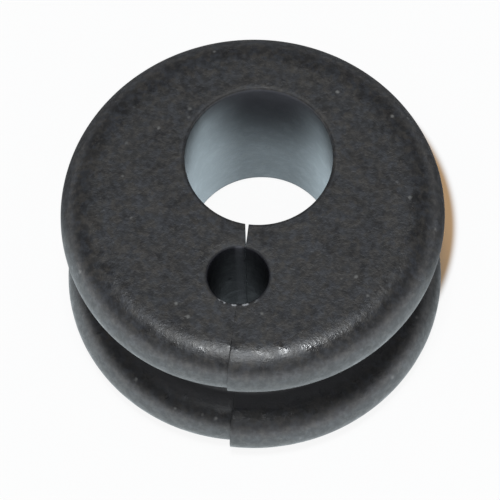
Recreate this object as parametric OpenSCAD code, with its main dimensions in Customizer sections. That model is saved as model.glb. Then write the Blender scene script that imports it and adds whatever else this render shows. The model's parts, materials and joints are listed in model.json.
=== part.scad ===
// Split rubber grommet with a large cable bore and a small wire bore.
// It stands on its lower face, with +Z along the bores and the slit towards -Y.

/* [Body] */
// Outer diameter of the two flanges
outer_d = 25.4; // [24:0.2:32]
// Thickness over the two flat faces
thickness = 13.6; // [12:0.2:18]
// Thickness of each flange, whose edge is fully rounded
flange_t = 3.9; // [3.4:0.1:4.8]

/* [Groove] */
// Diameter of the groove floor, which the panel hole closes on
groove_d = 19; // [17:0.2:19]
// Fillet where the groove floor meets each flange
groove_fillet = 0.3; // [0.2:0.05:0.4]

/* [Cable bore] */
// Diameter of the large bore
cable_d = 9.8; // [8:0.1:10.4]
// Distance of the large bore from the middle, away from the slit
cable_off = 3.25; // [2.8:0.05:3.6]
// Width of the broken edge at the large bore's two mouths
cable_mouth = 0.12; // [0.06:0.02:0.4]

/* [Wire bore] */
// Diameter of the small bore
wire_d = 4; // [3:0.1:4.4]
// Thickness of the web that parts the two bores
web_t = 1.8; // [1.4:0.1:2.4]
// How far the small bore sits beside the line of the slit
wire_side = 0.2; // [0:0.05:0.4]
// Width of the broken edge at the small bore's two mouths
wire_mouth = 0.1; // [0.06:0.02:0.3]

/* [Slit] */
// Width of the knife cut from the rim to the small bore
slit_w = 0.1; // [0.08:0.02:0.3]
// Width to which the cut has opened at the large bore
slit_open = 0.3; // [0.1:0.05:0.5]

/* [Lips] */
// How much smaller the radius of the loose lip is at the lower flange
lip_ease_low = 0.55; // [0:0.05:0.8]
// Angle of rim over which the lower lip eases in towards the slit
lip_span_low = 85; // [60:5:90]
// How much smaller the radius of the loose lip is at the upper flange
lip_ease_high = 0.7; // [0:0.05:0.9]
// Angle of rim over which the upper lip eases in towards the slit
lip_span_high = 45; // [40:5:60]

/* [Hidden] */
$fn = 96;
over = 1;
rim_r = outer_d / 2;
edge_r = flange_t / 2;
// The slit faces -Y, and the lip on its -X side is the loose one
slit_az = -90;
lip_over = 30;
// Where the round faces of a bore start, away from where the flanges' faces start
bore_start = 60;
cable_near_y = cable_off - cable_d / 2;
wire_far_y = cable_near_y - web_t;
wire_y = wire_far_y - wire_d / 2;

// Half section of a flange with a fully rounded edge
module flange_profile(r) {
    square([r - edge_r, flange_t]);
    translate([r - edge_r, edge_r]) circle(r = edge_r);
}

// One flange. Its rim is a true circle but for the loose lip, an arc of smaller
// radius that leaves the circle at a tangent and runs in towards the slit. Both are
// revolved away from the tangent point, and past the slit the lip's arc ends inside
// the other lip.
module flange(lip_ease, lip_span) {
    rotate([0, 0, slit_az - lip_span]) {
        mirror([0, 1, 0]) rotate_extrude(angle = 360 - lip_span) flange_profile(rim_r);
        translate([lip_ease, 0, 0]) rotate_extrude(angle = lip_span + lip_over)
            flange_profile(rim_r - lip_ease);
    }
}

// Filled corner between the groove floor and the side of a flange
module groove_corner() {
    difference() {
        translate([-groove_fillet, -groove_fillet]) square(2 * groove_fillet);
        translate([groove_fillet, groove_fillet]) circle(r = groove_fillet);
    }
}

// Barrel from the middle of one flange to the middle of the other, with the fillets
// of the groove floor
module barrel() {
    rotate_extrude() {
        translate([0, edge_r]) square([groove_d / 2, thickness - flange_t]);
        translate([groove_d / 2, flange_t]) groove_corner();
        translate([groove_d / 2, thickness - flange_t]) mirror([0, 1]) groove_corner();
    }
}

// Cone that breaks the edge of a bore at the face z = 0
module bore_mouth(r, mouth) {
    translate([0, 0, -over]) cylinder(r1 = r + mouth + over, r2 = r, h = mouth + over);
}

// Through bore with the edges of both mouths broken
module bore(d, mouth) {
    translate([0, 0, -over]) cylinder(d = d, h = thickness + 2 * over);
    bore_mouth(d / 2, mouth);
    translate([0, 0, thickness]) mirror([0, 0, 1]) bore_mouth(d / 2, mouth);
}

// Knife cut from the rim to the large bore, which opens from the middle of the small
// bore on. Its end lies in the large bore, at that bore's middle.
module slit() {
    half = slit_w / 2;
    open = half + (slit_open / 2 - half) * (cable_off - wire_y) / (cable_near_y - wire_y);
    translate([0, 0, -over]) linear_extrude(thickness + 2 * over)
        polygon([[-half, -rim_r - over], [half, -rim_r - over], [half, wire_y], [open, cable_off],
                 [-open, cable_off], [-half, wire_y]]);
}

// The whole grommet, moulded in one piece and then slit
module grommet_body() {
    color([0.09, 0.09, 0.09]) difference() {
        union() {
            barrel();
            flange(lip_ease_low, lip_span_low);
            translate([0, 0, thickness - flange_t]) flange(lip_ease_high, lip_span_high);
        }
        translate([0, cable_off, 0]) rotate([0, 0, bore_start]) bore(cable_d, cable_mouth);
        translate([-wire_side, wire_y, 0]) rotate([0, 0, bore_start]) bore(wire_d, wire_mouth);
        slit();
    }
}

grommet_body();
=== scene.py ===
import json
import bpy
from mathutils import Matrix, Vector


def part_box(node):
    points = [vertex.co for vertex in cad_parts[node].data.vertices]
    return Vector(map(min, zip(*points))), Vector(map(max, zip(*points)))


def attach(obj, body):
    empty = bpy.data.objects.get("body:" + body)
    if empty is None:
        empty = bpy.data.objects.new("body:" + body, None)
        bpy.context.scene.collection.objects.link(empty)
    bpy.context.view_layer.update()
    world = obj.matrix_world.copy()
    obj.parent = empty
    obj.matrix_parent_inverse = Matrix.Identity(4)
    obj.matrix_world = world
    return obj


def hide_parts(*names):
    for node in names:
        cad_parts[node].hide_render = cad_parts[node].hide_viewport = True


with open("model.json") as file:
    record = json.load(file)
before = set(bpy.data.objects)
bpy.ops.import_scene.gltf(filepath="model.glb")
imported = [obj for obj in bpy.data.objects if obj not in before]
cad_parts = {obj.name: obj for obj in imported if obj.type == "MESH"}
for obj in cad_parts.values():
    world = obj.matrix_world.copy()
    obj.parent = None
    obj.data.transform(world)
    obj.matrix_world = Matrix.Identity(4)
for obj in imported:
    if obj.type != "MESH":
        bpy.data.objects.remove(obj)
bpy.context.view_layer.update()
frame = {"record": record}

# %% [markdown]
# # A split rubber grommet
# A grommet lines a hole in a sheet of metal, so that the sheet's edge can't chafe
# the cables that pass through it. This one is a single moulding of black rubber with
# two rounded flanges, the groove that the sheet sits in, a large bore for a cable
# and a small bore for a wire. A knife cut runs from the rim through both bores, so
# that it can be opened and laid round a cable that is already connected.
#
# Everything here is in millimetres until it is put into a mesh or a material, because
# a part of this size is easier to think about that way. The main sizes come from the
# frame.

# %% Tools and the sizes that the frame gives
from types import SimpleNamespace

import bpy
import numpy as np
from mathutils import Matrix, Vector

MM = 0.001
NODE = "grommet_body"


def mm(values):
    """Metres to millimetres, as an array."""
    return np.array(values, float) / MM


low, high = (mm(corner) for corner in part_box(NODE))
mounts = {m["name"]: m for m in frame["record"]["mounts"]}
rim_r = (high[0] - low[0]) / 2
thickness = high[2] - low[2]
cable_r = mounts["cable_bore"]["dims"]["r_mm"]
cable_y = mm(mounts["cable_bore"]["pos_m"])[1]
wire_r = mounts["wire_bore"]["dims"]["r_mm"]
wire_x, wire_y = mm(mounts["wire_bore"]["pos_m"])[:2]
print("rim radius", round(rim_r, 3), "thickness", round(thickness, 3))
print("cable bore", cable_r, "at", round(cable_y, 3), "wire bore", wire_r, "at", round(wire_y, 3))

# %% [markdown]
# The frame doesn't hold the smaller sizes, so they are given here. The knife cut is
# closed at the rim and has opened a little where it meets the large bore. In the web
# between the bores it leans to one side, as a cut made by hand does. The mouths of
# the bores are softly rounded. The rim of each flange is not quite a half circle: it
# reaches further in over the flat faces than it is high.

# %% Sizes of the cut, the mouths and the edges
slit_half = 0.003           # half the width of the cut, from the rim to the wire bore
web_start_half = 0.015      # half its width in the web, at the wire bore
slit_open_half = 0.12       # half its width in the web, at the cable bore
web_lean = -0.12            # how far it has moved sideways at the cable bore
slit_edge = 0.003           # rounding of the cut's own edges
lip_round = 0.025           # rounding of the two lips, where the cut leaves the rim
cable_mouth = 0.28
wire_mouth = 0.24
flange_half = 1.95
flange_reach = 2.35
groove_r = 9.5
groove_fillet = 0.3
start_r = groove_r - 0.25   # where the inner edge starts, just inside the groove's floor
side_low = 2 * flange_half
side_high = thickness - side_low
flat_r = rim_r - flange_reach
corner_r = groove_r + groove_fillet
print("groove from", side_low, "to", round(side_high, 3), "flat faces out to", round(flat_r, 3))

# %% [markdown]
# ## The camera
# The picture was taken from well above the grommet, a little to the right of the
# slit, with a long lens. The camera looks at the middle of the grommet. Its own
# right and up directions are turned by a small roll, and the lens is chosen so that
# one rim radius covers a known number of pixels of the 500 pixel frame. It could be
# placed by eye, but angles and pixels that are named can be measured and mended.

# %% Camera
picture_px = 500
rim_px = 189.1
middle_px = np.array([253.6, 243.7])
view_rise = np.radians(65.2)
view_turn = np.radians(9.3)
view_roll = np.radians(-1.9)
view_distance = 22 * rim_r
sensor = 36.0

back = np.array([np.sin(view_turn) * np.cos(view_rise),
                 -np.cos(view_turn) * np.cos(view_rise),
                 np.sin(view_rise)])
right = np.array([np.cos(view_turn), np.sin(view_turn), 0.0])
up = np.cross(back, right)
right_rolled = np.cos(view_roll) * right + np.sin(view_roll) * up
up_rolled = np.cos(view_roll) * up - np.sin(view_roll) * right
middle = np.array([0, 0, thickness / 2])
eye = (middle + back * view_distance) * MM

camera_data = bpy.data.cameras.new("camera")
camera_data.sensor_width = sensor
camera_data.lens = sensor * rim_px * view_distance / rim_r / picture_px
camera_data.shift_x = (picture_px / 2 - middle_px[0]) / picture_px
camera_data.shift_y = (middle_px[1] - picture_px / 2) / picture_px
camera_data.clip_start = 0.01
camera_data.clip_end = 50
camera = bpy.data.objects.new("camera", camera_data)
axes = np.stack([right_rolled, up_rolled, back], axis=1)
camera.matrix_world = Matrix.Translation(Vector(eye)) @ Matrix(axes.tolist()).to_4x4()
bpy.context.collection.objects.link(camera)
bpy.context.scene.camera = camera
print("lens", round(camera_data.lens, 1), "mm, eye at", np.round(eye, 4))

# %% [markdown]
# ## From a grid of points to a mesh
# The body's skin is a grid: rows of points worked out by a formula. It could also be
# modelled by hand, but a formula keeps to the frame's sizes exactly. One helper turns
# a grid into four-sided faces, and another gives points and faces to Blender in one
# go, which is much faster than adding them one by one.

# %% Mesh helpers
def grid_faces(columns, rows):
    """Four-sided faces of a grid stored column by column, whose last row joins its first."""
    i, j = np.meshgrid(np.arange(columns - 1), np.arange(rows), indexing="ij")
    k = (j + 1) % rows
    corners = [i * rows + j, i * rows + k, (i + 1) * rows + k, (i + 1) * rows + j]
    return np.stack(corners, -1).reshape(-1, 4)


def make_piece(name, points, faces, material, sharp_from=None):
    """Puts points, in millimetres, and lists of corners into a smooth mesh object at the origin."""
    mesh = bpy.data.meshes.new(name)
    mesh.from_pydata((np.asarray(points) * MM).tolist(), [], faces)
    mesh.polygons.foreach_set("use_smooth", np.ones(len(mesh.polygons), bool))
    if sharp_from is not None:
        mesh.set_sharp_from_angle(angle=np.radians(sharp_from))
    mesh.materials.append(material)
    mesh.update()
    piece = bpy.data.objects.new(name, mesh)
    bpy.context.collection.objects.link(piece)
    print(name, len(mesh.vertices), "points,", len(mesh.polygons), "faces")
    return piece


# %% [markdown]
# ## Materials as expressions
# A material is a graph of nodes, but what we want to write is arithmetic. The class
# below wraps one output of a node. Adding or multiplying two of them puts a Math
# node into the graph, and `node` adds a node of any other kind. The graph could be
# drawn in the shader editor too, but a sum is easier to read and change as a sum.
#
# Most of what varies here is a mask: a value from 0 to 1 that says how much a point
# belongs to some place. `fade` makes one from a distance, over a pair of millimetres
# that says where the mask starts to rise and where it is full. Taken away from 1, it
# starts full and has ended where the pair ends.

# %% A socket that can be used in arithmetic
class Value:
    """One output of a node, which can be added, taken away and multiplied."""

    def __init__(self, tree, socket):
        self.tree = tree
        self.socket = socket

    def node(self, kind, settings=None, output=0, **inputs):
        """Adds a node: its settings are set first, then the value or the link of each input.

        An input is named by its label, or as i0, i1 and so on by its place.
        """
        made = self.tree.nodes.new(kind)
        for key, value in (settings or {}).items():
            setattr(made, key, value)
        for key, value in inputs.items():
            by_place = key[0] == "i" and key[1:].isdigit()
            target = made.inputs[int(key[1:]) if by_place else key.replace("_", " ")]
            if isinstance(value, Value):
                self.tree.links.new(value.socket, target)
            else:
                target.default_value = value
        return Value(self.tree, made.outputs[output])

    def math(self, operation, first, second=0.0):
        """A Math node on two inputs, each of them a value or a number."""
        return self.node("ShaderNodeMath", {"operation": operation}, i0=first, i1=second)

    def __add__(self, other):
        return self.math("ADD", self, other)

    def __sub__(self, other):
        return self.math("SUBTRACT", self, other)

    def __rsub__(self, other):
        return self.math("SUBTRACT", other, self)

    def __mul__(self, other):
        return self.math("MULTIPLY", self, other)

    __radd__ = __add__
    __rmul__ = __mul__

    def between(self, start, end):
        """0 below start and 1 above end, with a smooth step between them."""
        return self.node("ShaderNodeMapRange", {"interpolation_type": "SMOOTHSTEP"},
                         Value=self, From_Min=start, From_Max=end)

    def fade(self, pair, base=0.0):
        """The same for a pair of millimetres, counted from a base in millimetres."""
        return self.between((base + pair[0]) * MM, (base + pair[1]) * MM)

    def away(self, other, first_mm, second_mm):
        """Distance in the plane of two coordinates from a place that is given in millimetres."""
        first = self - first_mm * MM
        second = other - second_mm * MM
        squared = first * first + second * second
        return squared.math("SQRT", squared)

    def parts(self):
        """The x, y and z of this position, as three values."""
        node = self.node("ShaderNodeSeparateXYZ", Vector=self).socket.node
        return [Value(self.tree, output) for output in node.outputs]

    def noise(self, size, detail=2.0, rough=0.5):
        """Soft random clouds about size millimetres across, from 0 to 1, at this position."""
        return self.node("ShaderNodeTexNoise", Vector=self, Scale=1 / (size * MM),
                         Detail=detail, Roughness=rough)

    def mix(self, first, second):
        """The first colour where this value is 0, the second where it is 1."""
        return self.node("ShaderNodeMix", {"data_type": "RGBA"}, output=2,
                         i0=self, i6=first, i7=second)


# %% Where a material starts and ends
def coordinates(tree, kind):
    """Where the shaded point is: Object for a place on a piece, Generated for a direction."""
    return Value(tree, None).node("ShaderNodeTexCoord", output=kind)


def new_material(name):
    """A new node material: gives the material, its surface shader and the object's coordinates."""
    material = bpy.data.materials.new(name)
    material.use_nodes = True
    tree = material.node_tree
    return material, tree.nodes["Principled BSDF"], coordinates(tree, "Object")


def connect(surface, name, value):
    """Links a value that varies over the surface to one input of its shader."""
    value.tree.links.new(value.socket, surface.inputs[name])


# %% [markdown]
# ## The skin of the rubber
# Moulded rubber is almost black, and most of what the eye sees of it is a soft sheen.
# Its skin has patterns of several sizes. Clouds and a fine mottle are the bloom, a
# thin film that works its way out of the rubber and greys it. The mould left a fine
# grain and slow waves. The skin is glossier in some spots than in others, which
# breaks up the highlight on the rim. And a few grains of pale dust lie on it.
#
# All this could be painted on an image, but noise in the object's own coordinates
# has no seams and needs no unwrapping. Noise makes all but the dust. A speck of dust
# lies in the middle of a cell of a Voronoi pattern, and the cell's random colour
# decides whether it has one at all. The positions are bent a little first, so that
# the specks aren't round.

# %% Patterns of the skin
speck_cell = 0.95
speck_size = (0.04, 0.2)    # as a share of the cell
speck_bend = 0.12


def rubber_patterns(place):
    """Values from 0 to 1 for each pattern of the skin. All but grain and waves reach both ends."""
    jitter = place.noise(0.2)
    bend = jitter.node("ShaderNodeVectorMath", {"operation": "SCALE"},
                       i0=jitter, Scale=speck_bend * MM)
    bent = place.node("ShaderNodeVectorMath", {"operation": "ADD"}, i0=place, i1=bend)
    cells = bent.node("ShaderNodeTexVoronoi", {"feature": "F1"},
                      Vector=bent, Scale=1 / (speck_cell * MM))
    chosen = Value(bent.tree, cells.socket.node.outputs["Color"])
    lottery = chosen.node("ShaderNodeSeparateColor", Color=chosen)
    return SimpleNamespace(
        clouds=place.noise(2.2, 3.0).between(0.35, 0.7),
        mottle=place.noise(0.4, 3.0, 0.7).between(0.36, 0.68),
        tint=place.noise(0.6, 2.0).between(0.4, 0.6),
        gloss=place.noise(0.7, 2.0).between(0.48, 0.66),
        spots=place.noise(0.95, 0.5).between(0.5, 0.72),
        flecks=place.noise(0.5).between(0.45, 0.6),
        grain=place.noise(0.12, 2.0, 0.6),
        waves=place.noise(1.1, 2.0, 0.5),
        specks=(1 - cells.between(*speck_size)) * lottery.between(0.7, 0.95))


print("a speck reaches", round(speck_size[1] * speck_cell, 3), "mm from its middle")


# %% [markdown]
# ## Places on the grommet
# The rubber doesn't look the same all over. The rims and the wall of the cable bore
# are polished, but for a dull patch high on the bore's far wall, whose bluish grey is
# a painted dim reflection. The mouths of the bores are duller. The wire bore's wall is
# painted darker, as painted shade inside the narrow bore, and a pale line on its far
# wall beside the cut is painted light that comes through the cut. Pale flecks are
# painted on the near half of its mouth. The lower flange's upper side, inside the
# groove where the upper flange shades it, is painted a lighter grey, as painted light.
#
# Each place could have a material of its own, but then it would end at a hard edge.
# Here it has a mask instead, made from the distance to the grommet's axis or to a
# bore's axis, from the height, or from the place across and along the slit.

# %% Where each place starts and ends, in millimetres
cable_wall_end = (0.02, 0.12)       # outside the cable bore's wall
wire_wall_end = (0.04, 0.16)        # outside the wire bore's wall
mouth_end = (0.2, 0.4)              # outside either wall
mouth_flecks_end = (0.12, 0.32)           # outside the wire bore's wall
mouth_flecks_side = (-2.0, -1.5)          # along the slit, from the wire bore's middle
# The pale line is painted light, standing in for light that comes through the cut
cut_light_x = -0.2                       # of the pale line, from the wire bore's middle
cut_light_end = (0.1, 0.4)               # from the pale line's middle
rim_start = (11.4, 12.2)            # from the grommet's axis, as the next three
shoulder_start = (9.9, 10.6)
# The lower flange's upper side is painted lighter, as painted light, where the upper flange shades
# it
fill_start = (9.3, 9.8)
fill_end = (10.2, 11.3)
fill_foot = (1.5, 2.5)              # height where the painted lighter grey starts
fill_top = (0.0, 1.0)               # above the flange's upper side
upper_zone = (-2.4, -0.2)           # below the upper face
foot_end = (0.15, 0.45)             # height above the lower face
side_start = (1.5, 4.5)             # to either side of the slit's line
patch_side = (0.0, 3.5)             # along the slit's line, from the cable bore's middle
patch_z = 14.5
patch_narrow = 2.2                  # how much narrower than high the patch is
patch_end = (3.0, 12.0)
print("the rims are polished from", rim_start[0], "to", round(rim_r, 3), "mm from the axis")

# %% Masks of the places
def rubber_places(place):
    """Masks from 0 to 1 for each place of the grommet that has its own look."""
    across, along, tall = place.parts()
    from_axis = across.away(along, 0, 0)
    from_cable = across.away(along, 0, cable_y)
    from_wire = across.away(along, wire_x, wire_y)
    from_cut_light = across.away(along, wire_x + cut_light_x, wire_y + wire_r)
    from_patch = (across * patch_narrow).away(tall, 0, patch_z)
    cable_wall = 1 - from_cable.fade(cable_wall_end, cable_r)
    wire_wall = 1 - from_wire.fade(wire_wall_end, wire_r)
    holes = 2 - from_wire.fade(mouth_end, wire_r) - from_cable.fade(mouth_end, cable_r)
    ledge = from_axis.fade(fill_start) * (1 - from_axis.fade(fill_end))
    mouth_flecks = (1 - from_wire.fade(mouth_flecks_end, wire_r)) * (1 - along.fade(mouth_flecks_side, wire_y))
    return SimpleNamespace(
        cable_wall=cable_wall,
        wire_wall=wire_wall,
        mouths=holes - cable_wall - wire_wall,
        mouth_flecks=mouth_flecks,
        # painted light: the pale line beside the cut in the wire bore
        line=1 - from_cut_light.fade(cut_light_end),
        rim=from_axis.fade(rim_start),
        shoulder=from_axis.fade(shoulder_start),
        # painted light: the lower flange's upper side, in the upper flange's shade
        painted_fill=ledge * tall.fade(fill_foot) * (1 - tall.fade(fill_top, side_low)),
        upper=tall.fade(upper_zone, thickness),
        foot=1 - tall.fade(foot_end),
        sides=across.math("ABSOLUTE", across).fade(side_start),
        patch=(1 - from_patch.fade(patch_end)) * cable_wall * along.fade(patch_side, cable_y))


# %% [markdown]
# ## Black rubber
# The material puts patterns and places together. The colour starts between a deep
# black and a grey bloom, and each place then mixes in its colour: pale flecks, painted
# shade in the wire bore, painted light along the line beside the cut and on the lower
# flange, and a painted dim reflection in the patch. The sheen has two
# layers: the rubber's own weak one, which is rough, and a coat for the polished
# rims and bore wall, which mirrors much more of what is round it. The coat's weight
# follows the places, so that it fades at the mouth, at the foot and in the patch. One
# glossy layer alone would make the flat faces shine as well. The numbers in the sums
# say how much each pattern or place adds.

# %% Colours of the rubber
deep = (0.011, 0.011, 0.012, 1)
bloom_warm = (0.047, 0.043, 0.039, 1)
bloom_cool = (0.038, 0.041, 0.048, 1)
dust_pale = (0.16, 0.16, 0.155, 1)
# Painted light: a lighter grey on the lower flange's upper side, where the upper flange shades it
painted_fill_grey = (0.11, 0.11, 0.115, 1)
# Painted dim reflection: the bluish grey of the dull patch on the cable bore's far wall
painted_dim_reflection_grey = (0.075, 0.077, 0.09, 1)
# Pale flecks painted on the near half of the wire bore's mouth
mouth_fleck_pale = (0.45, 0.46, 0.48, 1)
# Painted shade: the wire bore's wall is darker inside the narrow bore
painted_bore_shade = (0.015, 0.0155, 0.02, 1)
# Painted light: the pale line on the wire bore's far wall, where light comes through the cut
cut_light_grey = (0.085, 0.087, 0.1, 1)


def rubber_colour(skin, on):
    """Black to grey by the bloom, then dust, the patch's painted dim reflection, pale flecks,
    painted light on the lower flange, and painted shade and a painted light line in the wire bore.
    """
    bloom = skin.tint.mix(bloom_warm, bloom_cool)
    colour = (skin.mottle * 0.7 + skin.clouds * 0.3).mix(deep, bloom)
    colour = skin.specks.mix(colour, dust_pale)
    # painted dim reflection on the patch
    colour = on.patch.mix(colour, painted_dim_reflection_grey)
    colour = (on.mouth_flecks * skin.flecks).mix(colour, mouth_fleck_pale)
    # painted light on the lower flange's upper side
    colour = (on.painted_fill * 0.8).mix(colour, painted_fill_grey)
    # painted shade in the wire bore, with the painted light line on it
    return on.wire_wall.mix(colour, on.line.mix(painted_bore_shade, cut_light_grey))


# %% Rubber material
base_roughness = 0.38
coat_ior = 3.0
coat_roughness = 0.33
rim_coat = 0.335
wall_coat = 0.37
bump_strength = 0.4
bump_height = 0.04


def rubber_material():
    """Near-black rubber with bloom, mould grain and dust, and with polished rims and bore wall."""
    material, surface, place = new_material("black_rubber")
    skin = rubber_patterns(place)
    on = rubber_places(place)
    connect(surface, "Base Color", rubber_colour(skin, on))

    roughness = base_roughness + skin.grain * 0.06 - skin.gloss * 0.08
    roughness = roughness - skin.spots * on.shoulder * 0.15 + skin.specks * 0.2
    roughness = roughness + on.patch * 0.5 + on.mouths * 0.2
    connect(surface, "Roughness", roughness)

    worn = (1 - on.patch) * (1 - on.upper * 0.5) * (1 - on.foot)
    polish = worn * (wall_coat + on.sides * 0.66 - skin.clouds * 0.06)
    coat = on.rim * (rim_coat + skin.mottle * 0.137) + on.cable_wall * polish
    connect(surface, "Coat Weight", coat)
    surface.inputs["Coat IOR"].default_value = coat_ior
    surface.inputs["Coat Roughness"].default_value = coat_roughness

    height = skin.grain * 0.5 + skin.waves * 0.8 + skin.mottle * 0.35
    height = height + skin.gloss * 0.18 + skin.specks * 0.5
    bump = place.node("ShaderNodeBump", Height=height,
                      Strength=bump_strength, Distance=bump_height * MM)
    connect(surface, "Normal", bump)
    return material


rubber = rubber_material()
print("rubber has", len(rubber.node_tree.nodes), "nodes")

# %% [markdown]
# ## The body as one grid
# Seen from above, the slit makes the grommet a letter C that is almost closed. So
# its whole skin can be one grid: along the C from one lip of the slit to the other,
# and round the section at each place: out over the upper face, down the rims and the
# groove, in over the lower face, and up the wall of the bores. The bores could be cut
# out with booleans instead, but a grid needs no cutting of one solid by another, so
# its rounded edges come out clean.
#
# The inner edge of the C is the harder one. It runs in along the slit, round one
# half of the wire bore, through the web, round the cable bore, and back out on the
# other side. Each stretch has its own formula. `side` is 1 or -1 for the two sides of
# the slit, and the two kinds of growth widen the slit and the bores at their edges.

# %% The stretches of the inner edge
def wire_corner(half, side, slit_grow, bore_grow):
    """Angle at the wire bore's middle, from straight across to the wall of the cut."""
    return np.arccos((half + slit_grow - side * wire_x) / (wire_r + bore_grow))


def slit_stretch(s, side, slit_grow, bore_grow):
    """Straight along the slit, from near the rim (s = 0) to the wire bore (s = 1)."""
    corner = wire_corner(slit_half, side, slit_grow, bore_grow)
    end = wire_y - (wire_r + bore_grow) * np.sin(corner)
    return side * (slit_half + slit_grow + 0 * s), -start_r + (end + start_r) * s


def wire_stretch(s, side, slit_grow, bore_grow):
    """Round the wire bore on one side of the slit, from its rim end to its web end."""
    start = -wire_corner(slit_half, side, slit_grow, bore_grow)
    end = wire_corner(web_start_half, side, slit_grow, bore_grow)
    angle = start + (end - start) * s
    r = wire_r + bore_grow
    return wire_x + side * r * np.cos(angle), wire_y + r * np.sin(angle)


def web_stretch(s, side, slit_grow, wire_grow, cable_grow):
    """Straight through the web to the cable bore (s = 1), as the cut opens and leans."""
    half = web_start_half + (slit_open_half - web_start_half) * s + slit_grow
    corner = wire_corner(web_start_half, side, slit_grow, wire_grow)
    start = wire_y + (wire_r + wire_grow) * np.sin(corner)
    last_x = web_lean + side * (slit_open_half + slit_grow)
    end = cable_y - np.sqrt((cable_r + cable_grow) ** 2 - last_x ** 2)
    return side * half + web_lean * s, start + (end - start) * s


def cable_stretch(s, slit_grow, bore_grow):
    """Round the cable bore, from one lip of the web (s = 0) to the other (s = 1)."""
    r = cable_r + bore_grow
    first = np.arcsin((slit_open_half + slit_grow + web_lean) / r) - np.pi / 2
    last = 1.5 * np.pi - np.arcsin((slit_open_half + slit_grow - web_lean) / r)
    angle = first + (last - first) * s
    return r * np.cos(angle), cable_y + r * np.sin(angle)


print("web between the bores", round(cable_y - cable_r - wire_y - wire_r, 3), "mm")

# %% [markdown]
# The columns of the grid are shared out between these stretches, with more of them
# near the slit. The outer edge of the C is simpler: it is an angle round the rim. It
# has to keep pace with the inner edge so that the lines across the face never cross.
# The first columns lie very close together, because they round off the lip.

# %% Columns: places along the C
slit_columns, wire_columns, web_columns, cable_columns = 26, 48, 16, 176
lip_steps = np.radians([0, 22.5, 45, 67.5, 90])
lip_along = lip_round * (1 - np.cos(lip_steps))
lip_depth = lip_round * (1 - np.sin(lip_steps))

# Angles round the rim, from the slit, at which the stretches of one side start
turn_slit = np.arcsin(slit_half / rim_r)
turn_wire, turn_web, turn_cable = np.radians([17, 76, 80])

past_lip = np.linspace(turn_slit + lip_round / rim_r, turn_wire, slit_columns + 1)[1:-1]
slit_turns = np.concatenate([turn_slit + lip_along / rim_r, past_lip])
slit_s = (slit_turns - turn_slit) / (turn_wire - turn_slit)
wire_s = np.arange(wire_columns) / wire_columns
web_s = np.arange(web_columns) / web_columns
cable_s = np.arange(cable_columns + 1) / cable_columns
half_turns = np.concatenate([slit_turns,
                             turn_wire + (turn_web - turn_wire) * wire_s,
                             turn_web + (turn_cable - turn_web) * web_s])
around = np.concatenate([-np.pi / 2 + half_turns,
                         -np.pi / 2 + turn_cable + (2 * np.pi - 2 * turn_cable) * cable_s,
                         1.5 * np.pi - half_turns[::-1]])
columns = len(around)
depth_in = np.zeros(columns)
depth_in[:len(lip_depth)] = lip_depth
depth_in[-len(lip_depth):] = lip_depth[::-1]
print("columns", columns)

# %% [markdown]
# Each bore ends in a rounded mouth. A Bevel modifier could round it once the mesh is
# made, but it easily folds over itself in the narrow corners where the slit meets the
# bores. So the whole inner edge is worked out once for each step of the rounding, a
# little wider each time as it rises to the face.

# %% The inner edge of the C
mouth_blend = 4


def inner_edge(alpha):
    """Plan and depth of the inner edge, from the wall (alpha 0) to the face (a right angle).

    A mouth is a quarter circle, so a bore grows by mouth * (1 - cos alpha) as the
    surface rises to mouth * (1 - sin alpha) below the face. The slit's own edge is
    only just broken, and widens to the wire bore's mouth with a power of the place
    along it. Returns x, y and the depth below the face, one of each per column.
    """
    grow = 1 - np.cos(alpha)
    edge, wire_grow, cable_grow = slit_edge * grow, wire_mouth * grow, cable_mouth * grow
    sides = {side: [slit_stretch(slit_s, side, edge, wire_grow),
                    wire_stretch(wire_s, side, edge, wire_grow),
                    web_stretch(web_s, side, edge, wire_grow, cable_grow)] for side in (1, -1)}
    way_out = [(x[::-1], y[::-1]) for x, y in sides[-1][::-1]]
    path = sides[1] + [cable_stretch(cable_s, edge, cable_grow)] + way_out
    x, y = (np.concatenate(part) for part in zip(*path))

    near = slit_edge + (wire_mouth - slit_edge) * slit_s ** mouth_blend
    web = wire_mouth + (cable_mouth - wire_mouth) * web_s
    half = np.concatenate([near, wire_mouth + 0 * wire_s, web])
    mouth = np.concatenate([half, cable_mouth + 0 * cable_s, half[::-1]])
    return x, y, mouth * (1 - np.sin(alpha))


print("points along the inner edge", len(inner_edge(0)[0]))

# %% [markdown]
# The outer side of the section is a chain of arcs and straight lines: the round edge
# of the upper flange, its underside, the fillets and floor of the groove, and the
# same again upside down. A Screw modifier could revolve such an outline, but not one
# that changes on its way round, as it does at the lips of the slit. Each point also
# carries its outward direction, along which the rounding of a lip takes it in.

# %% Outer side of the section
rim_steps, side_steps, corner_steps, floor_steps = 33, 2, 6, 6


def flange_edge(middle_z):
    """Round edge of a flange, half an ellipse from its upper side to its lower side."""
    a = np.linspace(np.pi / 2, -np.pi / 2, rim_steps)
    out, rise = np.cos(a) / flange_reach, np.sin(a) / flange_half
    size = np.hypot(out, rise)
    return np.stack([flat_r + flange_reach * np.cos(a), middle_z + flange_half * np.sin(a),
                     out / size, rise / size], -1)


def straight(start, end, normal, count):
    """Points between two ends of a straight line, without the ends."""
    t = (np.arange(count)[:, None] + 1) / (count + 1)
    line = np.array(start) + (np.array(end) - np.array(start)) * t
    return np.concatenate([line, np.tile(normal, (count, 1))], 1)


def groove_corner(middle_z, start, end):
    """Fillet of the groove round a centre at the given height, between two angles."""
    a = np.linspace(start, end, corner_steps)
    return np.stack([corner_r + groove_fillet * np.cos(a), middle_z + groove_fillet * np.sin(a),
                     -np.cos(a), -np.sin(a)], -1)


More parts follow.
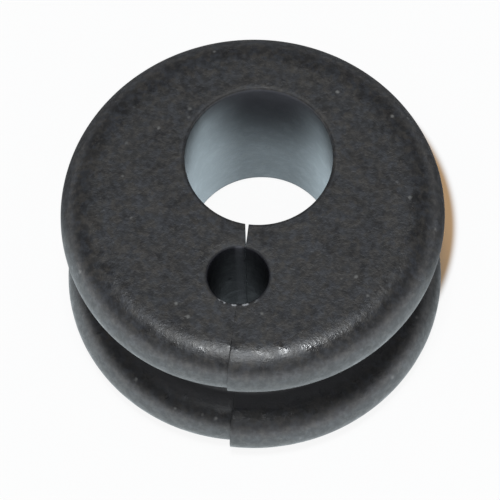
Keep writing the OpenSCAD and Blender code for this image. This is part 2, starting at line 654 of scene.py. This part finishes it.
floor_high, floor_low = side_high - groove_fillet, side_low + groove_fillet
section = np.concatenate([
    flange_edge(thickness - flange_half),
    straight((flat_r, side_high), (corner_r, side_high), (0, -1), side_steps),
    groove_corner(floor_high, np.pi / 2, np.pi),
    straight((groove_r, floor_high), (groove_r, floor_low), (1, 0), floor_steps),
    groove_corner(floor_low, np.pi, 1.5 * np.pi),
    straight((corner_r, side_low), (flat_r, side_low), (0, 1), side_steps),
    flange_edge(flange_half),
])
print("points on the outer side of the section", len(section))

# %% [markdown]
# The knife cut has let one lip of the slit spring in, more at the lower flange than
# at the upper one. On that lip each rim is an arc of a smaller circle, which leaves
# the full circle at a tangent and runs in towards the slit: it has moved in by
# about ease * (1 - cos angle) at an angle past the tangent point, where ease is how
# much smaller that circle's radius is. The lip could be bent by a lattice, but this
# follows the lip of the CAD part closely.

# %% The loose lip
lips = {"high": SimpleNamespace(shift=0.205, span=np.radians(45)),
        "low": SimpleNamespace(shift=0.5, span=np.radians(85))}


def lip_shift(angle, lip):
    """How far the loose lip has moved in at each angle: ease * (1 - cos) past its tangent."""
    ease = lip.shift / (1 - np.cos(lip.span))
    past = np.clip(angle - (1.5 * np.pi - lip.span), 0, None)
    return ease * (1 - np.cos(past))


for name, lip in lips.items():
    print(name, "lip moved in by", round(float(lip_shift(1.5 * np.pi, lip)), 3), "mm")


def outer_side():
    """x, y and z of the outer side of the section at every column.

    The lip's shift acts in full on the rims, fades out over the flanges' sides, and
    leaves the groove's floor as it is.
    """
    r, z, out, rise = section.T[:, None, :]
    share = np.clip((r - corner_r) / (flat_r - corner_r), 0, 1)
    shift = np.where(z > thickness / 2, lip_shift(around, lips["high"])[:, None],
                     lip_shift(around, lips["low"])[:, None])
    depth = depth_in[:, None]
    moved = r - depth * out - shift * share
    return moved * np.cos(around)[:, None], moved * np.sin(around)[:, None], z - depth * rise


# %% [markdown]
# Now the rows are laid round the section. The faces are straight lines from the
# inner edge to the start of the rim's rounding. The last step closes the two ends of
# the C, which are the lips' flat cut faces. Edges of more than 40 degrees, such as
# where a cut face meets a flat one, stay sharp, and the rest is shaded smooth.

# %% The body
mouth_rows, face_rows, wall_rows = 9, 9, 11
lip_blend = 6


def body_grid():
    """Points of the body, shaped (columns, rows, 3), with the rows in order round the section.

    The lip's rounding sinks into the faces with a power of the way out to the rim.
    """
    side_x, side_y, side_z = outer_side()
    edges = [inner_edge(a) for a in np.linspace(0, np.pi / 2, mouth_rows)]
    wall_x, wall_y, wall_fall = edges[0]
    face_x, face_y, _ = edges[-1]
    way_out = np.linspace(0, 1, face_rows)

    def across_face(j, t):
        """A row of a flat face, at a share t of the way from the inner edge to rim row j."""
        return face_x + (side_x[:, j] - face_x) * t, face_y + (side_y[:, j] - face_y) * t

    rows = [(x, y, thickness - fall) for x, y, fall in edges[:-1]]
    rows += [(*across_face(0, t), thickness - depth_in * t ** lip_blend) for t in way_out[:-1]]
    rows += [(side_x[:, j], side_y[:, j], side_z[:, j]) for j in range(len(section))]
    rows += [(*across_face(-1, t), depth_in * t ** lip_blend) for t in way_out[-2::-1]]
    rows += edges[-2::-1]
    rows += [(wall_x, wall_y, wall_fall + (thickness - 2 * wall_fall) * t)
             for t in np.linspace(0, 1, wall_rows)[1:-1]]
    return np.stack([np.stack(row, -1) for row in rows], 1)


body = body_grid()
row_count = body.shape[1]
body_faces = grid_faces(columns, row_count).tolist()
last_column = (columns - 1) * row_count
body_faces.append(list(range(row_count))[::-1])
body_faces.append([last_column + k for k in range(row_count)])
grommet = make_piece("grommet", body.reshape(-1, 3), body_faces, rubber, sharp_from=40)
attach(grommet, "root")
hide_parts(NODE)

# %% [markdown]
# ## The floor
# The grommet stands on plain white, and its shadow falls away from the camera. The
# picture shows the shadow only as a narrow warm strip beside the right rim, so the
# floor is tinted warm there, and grey behind the grommet.
#
# Two things about this floor are made for the picture. Where the camera sees it
# directly, it is mixed with plain white, so that the background comes out white
# without more light on the grommet. And black rubber shows its shape mostly by what
# it mirrors, so a reflection sees a floor of its own: a slightly blue white under and
# before the grommet, and a dark one behind it and below the wire bore. More lamps
# could do part of this, but they would light the flat faces too.

# %% Sizes, places and colours of the floor
floor_radius = 3000.0
floor_corners = 96
floor_dull = 0.9
camera_lift = 0.9
shadow_lift_cut = 0.9
side_tilt = np.radians(22.3)
side_turn = np.radians(-8.4)
shade_reach = (thickness - flange_half) * np.tan(side_tilt)
shade_x = -shade_reach * np.sin(side_turn)
shade_y = shade_reach * np.cos(side_turn)
print("the weak lamp's shadow of the upper rim falls", round(shade_reach, 2), "mm away")

outside_start = (-0.2, 0.5)     # from the groove's floor
shade_end = (-0.5, 0.2)         # from the rim, round the shadow's middle
warm_start = (4.5, 10.5)        # to the right of the slit's line
behind_start = (-6.0, 8.0)      # along the slit's line
behind_reach = (12.0, 14.0)     # from the grommet's axis
wire_shade_end = (0.2, 0.8)     # outside the wire bore's wall
wire_shade = 0.7

floor_whites = (0.93, 0.93, 0.93, 1), (0.95, 0.95, 0.95, 1)
shade_grey = (0.6, 0.585, 0.565, 1)
shade_warm = (0.46, 0.25, 0.08, 1)
mirror_under = (0.75, 0.91, 1.0, 1)
mirror_outside = (0.84, 0.93, 0.97, 1)
mirror_behind = (0.12, 0.125, 0.13, 1)
pure_white = (1, 1, 1, 1)

# %% Floor
def mirrored_floor(across, along, outside):
    """Colour of the floor in reflections: pale, but dark behind and below the wire bore."""
    from_wire = across.away(along, wire_x, wire_y)
    behind = along.fade(behind_start) * across.away(along, 0, 0).fade(behind_reach)
    below_wire = 1 - from_wire.fade(wire_shade_end, wire_r)
    dim = behind.math("MAXIMUM", behind, below_wire * wire_shade)
    return dim.mix(outside.mix(mirror_under, mirror_outside), mirror_behind)


def floor_material():
    """Matt white with the shadow's tint, and a plain glow for the camera and for reflections."""
    material, surface, place = new_material("floor_white")
    across, along, _ = place.parts()
    outside = across.away(along, 0, 0).fade(outside_start, groove_r)
    shade = (1 - across.away(along, shade_x, shade_y).fade(shade_end, rim_r)) * outside
    white = place.noise(60.0, 2.0).mix(*floor_whites)
    tint = across.fade(warm_start).mix(shade_grey, shade_warm)
    connect(surface, "Base Color", shade.mix(white, tint))
    surface.inputs["Roughness"].default_value = floor_dull
    surface.inputs["Specular IOR Level"].default_value = 0.0

    seen = place.node("ShaderNodeLightPath", output="Is Camera Ray")
    shiny = place.node("ShaderNodeLightPath", output="Is Glossy Ray")
    glow_colour = shiny.mix(pure_white, mirrored_floor(across, along, outside))
    glow = place.node("ShaderNodeEmission", Color=glow_colour, Strength=1.0)
    lit = Value(place.tree, surface.outputs["BSDF"])
    share = seen * camera_lift * (1 - shade * shadow_lift_cut) + shiny
    lifted = place.node("ShaderNodeMixShader", i0=share, i1=lit, i2=glow)
    place.tree.links.new(lifted.socket, place.tree.nodes["Material Output"].inputs["Surface"])
    return material


def disc(name, radius, material):
    """Flat round floor at the height of the grommet's lower face."""
    a = np.linspace(0, 2 * np.pi, floor_corners, endpoint=False)
    ring = np.stack([radius * np.cos(a), radius * np.sin(a), np.full(floor_corners, low[2])], -1)
    return make_piece(name, ring, [list(range(floor_corners))], material)


floor = disc("floor", floor_radius, floor_material())

# %% [markdown]
# ## Light
# One soft lamp hangs almost straight overhead, tilted a little towards the camera. It
# draws the narrow highlight on the near shoulder of the upper rim, and is small
# enough for that highlight to keep its edges. A second lamp, wide and very weak,
# comes from the camera's side and casts a soft shadow to the back, where the floor's
# tint lies. The rest is a pale room: bright near the horizon on the camera's side,
# dimmer behind the grommet and overhead, so that the flat upper face stays dark and
# the near rims catch the most light. An image of a real room could light it too, but
# two colours and a zenith can be set apart from each other.

# %% Lamps and room
lamp_tilt = np.radians(5)
lamp_colour = (0.95, 0.98, 1.0)
horizon_fade = (0.05, 0.6)
side_fade = (-0.25, 0.25)


def soft_lamp(strength, width, tilt, turn):
    """A soft lamp: its tilt is from straight overhead, and its turn from the slit's direction."""
    data = bpy.data.lights.new("lamp", "SUN")
    data.energy = strength
    data.angle = np.radians(width)
    data.color = lamp_colour
    made = bpy.data.objects.new("lamp", data)
    towards = Vector((np.sin(turn) * np.sin(tilt), -np.cos(turn) * np.sin(tilt), np.cos(tilt)))
    made.rotation_euler = towards.to_track_quat("Z", "Y").to_euler()
    bpy.context.collection.objects.link(made)
    print("lamp of strength", strength, "and", width, "degrees across")


def pale_room(near, far, zenith):
    """World light from the horizon, brighter on the camera's side, up to a dimmer zenith."""
    world = bpy.data.worlds.new("room")
    world.use_nodes = True
    tree = world.node_tree
    _, along, tall = coordinates(tree, "Generated").parts()
    horizon = along.between(*side_fade).mix(near, far)
    colour = tall.between(*horizon_fade).mix(horizon, zenith)
    connect(tree.nodes["Background"], "Color", colour)
    bpy.context.scene.world = world
    print("room from", near[:3], "near the horizon to", zenith[:3], "overhead")


soft_lamp(strength=1.9, width=11, tilt=lamp_tilt, turn=0.0)
soft_lamp(strength=0.15, width=25, tilt=side_tilt, turn=side_turn)
pale_room(near=(0.9, 0.92, 0.95, 1), far=(0.36, 0.365, 0.375, 1), zenith=(0.18, 0.183, 0.188, 1))
bpy.context.scene.view_settings.view_transform = "Standard"
